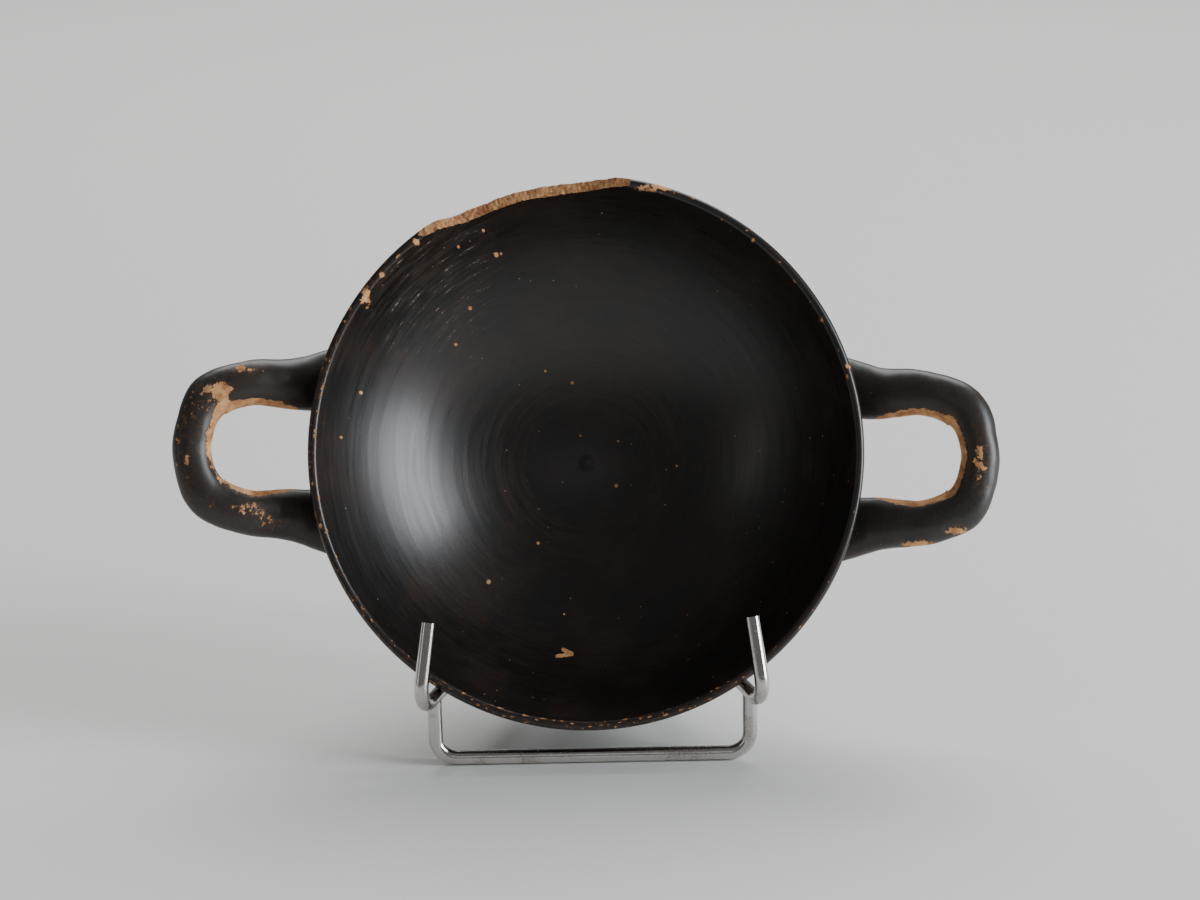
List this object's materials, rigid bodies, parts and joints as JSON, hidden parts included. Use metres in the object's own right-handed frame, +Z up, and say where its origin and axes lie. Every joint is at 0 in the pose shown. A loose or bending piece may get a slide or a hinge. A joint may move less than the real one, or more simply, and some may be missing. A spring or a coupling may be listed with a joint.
{
  "type": "black-glazed stemless kylix on a wire stand",
  "caption": "Two-handled black-glazed drinking cup with a flaked lip, leaning mouth-forward in a bent chromed wire display stand.",
  "frame": {"origin": "centre of the bottom of the whole object's box, on the surface that the stand rests on", "axes": "+X along the handles, to the right seen from the mouth; +Y from the mouth to the stand's rear leg; +Z up"},
  "size_m": [0.2306, 0.1262, 0.1552],
  "materials": {
    "black_glaze": "semi-gloss black slip with worn orange clay at the handles and the broken lip",
    "chrome_wire": "bright plating, pitted and dull in places"
  },
  "bodies": {
    "root": {"kylix": "black_glaze", "cradle_wire": "chrome_wire", "front_foot_wire": "chrome_wire", "rear_leg_wire": "chrome_wire"}
  },
  "joints": []
}
